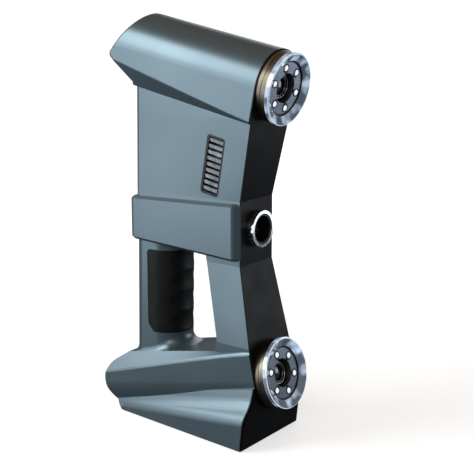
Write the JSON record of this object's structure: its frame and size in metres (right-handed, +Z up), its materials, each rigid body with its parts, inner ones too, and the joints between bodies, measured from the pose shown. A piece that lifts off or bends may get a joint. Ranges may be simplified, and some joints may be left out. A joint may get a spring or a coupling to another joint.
{
  "type": "handheld scanner",
  "caption": "Upright handheld structured-light scanner with a handle, finger hole, two toed-in ring-lit cameras and a central projector.",
  "frame": {"origin": "middle of the flat base, on the surface it stands on", "axes": "+Z up along the scanner's height, -Y towards the scanned object, X across the narrow width"},
  "size_m": [0.0818, 0.172, 0.3313],
  "materials": {
    "shell_paint": "satin metallic slate-grey paint",
    "collar_paint": "satin metallic slate-grey paint",
    "black_cover": "fine matt black",
    "grip_rubber": "matt soft-touch rubber",
    "screw_steel": "blackened steel",
    "vent_metal": "satin aluminium louvre",
    "chrome_ring": "polished, ribbed",
    "black_anodised": "black anodised",
    "lens_glass": "coated lens glass",
    "dark_alloy": "dark cast alloy",
    "bare_alloy": "bare alloy",
    "circuit_board": "green solder mask",
    "black_plastic": "moulded, fine grain",
    "socket_metal": "nickel plated",
    "thread_brass": "machined",
    "button_white": "satin",
    "button_grey": "satin",
    "bronze_band": "champagne anodised, turned",
    "clear_bezel": "clear gloss bezel over a bright ring",
    "lamp_plate_grey": "bead-blasted grey",
    "lamp_white": "domed white lamp"
  },
  "bodies": {
    "case": {"left_shell": "shell_paint", "right_shell": "shell_paint", "front_cover": "black_cover", "left_collar": "collar_paint", "right_collar": "collar_paint", "grip_insert": "grip_rubber", "shell_screws": "screw_steel", "left_vent_frame": "black_plastic", "right_vent_frame": "black_plastic", "left_vent_slats": "vent_metal", "right_vent_slats": "vent_metal", "projector_barrel": "black_anodised", "projector_lens": "lens_glass", "light_engine": "dark_alloy", "heat_sink": "bare_alloy", "spine_frame": "bare_alloy", "main_board": "circuit_board", "power_board": "circuit_board", "fan_housing": "black_plastic", "control_bezel": "black_plastic", "button_board": "circuit_board", "socket_bay": "black_plastic", "power_inlet": "socket_metal", "data_socket": "socket_metal", "base_pad": "grip_rubber", "tripod_insert": "thread_brass", "upper_ring_band": "bronze_band", "upper_ring_bezel": "clear_bezel", "upper_ring_gasket": "black_plastic", "upper_lamp_plate": "lamp_plate_grey", "upper_lamps": "lamp_white", "upper_lens_barrel": "black_anodised", "upper_lens_glass": "lens_glass", "upper_well_floor": "black_plastic", "upper_camera_board": "circuit_board", "upper_image_sensor": "black_plastic", "lower_ring_band": "bronze_band", "lower_ring_bezel": "clear_bezel", "lower_ring_gasket": "black_plastic", "lower_lamp_plate": "lamp_plate_grey", "lower_lamps": "lamp_white", "lower_lens_barrel": "black_anodised", "lower_lens_glass": "lens_glass", "lower_well_floor": "black_plastic", "lower_camera_board": "circuit_board", "lower_image_sensor": "black_plastic"},
    "fan_rotor": {"fan_rotor": "black_plastic"},
    "focus_ring": {"focus_ring": "chrome_ring"},
    "scan_button": {"scan_button": "button_white"},
    "plus_button": {"plus_button": "button_grey"},
    "minus_button": {"minus_button": "button_grey"}
  },
  "joints": [
    {"name": "fan_spin", "type": "hinge", "parent": "case", "child": "fan_rotor", "pos_m": [0, -0.021, 0.218], "axis": [1, 0, 0], "continuous": true},
    {"name": "focus_turn", "type": "hinge", "parent": "case", "child": "focus_ring", "pos_m": [0, -0.0534, 0.169], "axis": [0, 1, 0], "range_deg": [-45, 45]},
    {"name": "scan_press", "type": "slide", "parent": "case", "child": "scan_button", "axis": [0, -1, 0], "range_m": [0, 0.0008], "stiffness_N_per_m": 1500, "springref_m": -0.0003},
    {"name": "plus_press", "type": "slide", "parent": "case", "child": "plus_button", "axis": [0, -1, 0], "range_m": [0, 0.0008], "stiffness_N_per_m": 1500, "springref_m": -0.0003},
    {"name": "minus_press", "type": "slide", "parent": "case", "child": "minus_button", "axis": [0, -1, 0], "range_m": [0, 0.0008], "stiffness_N_per_m": 1500, "springref_m": -0.0003}
  ]
}
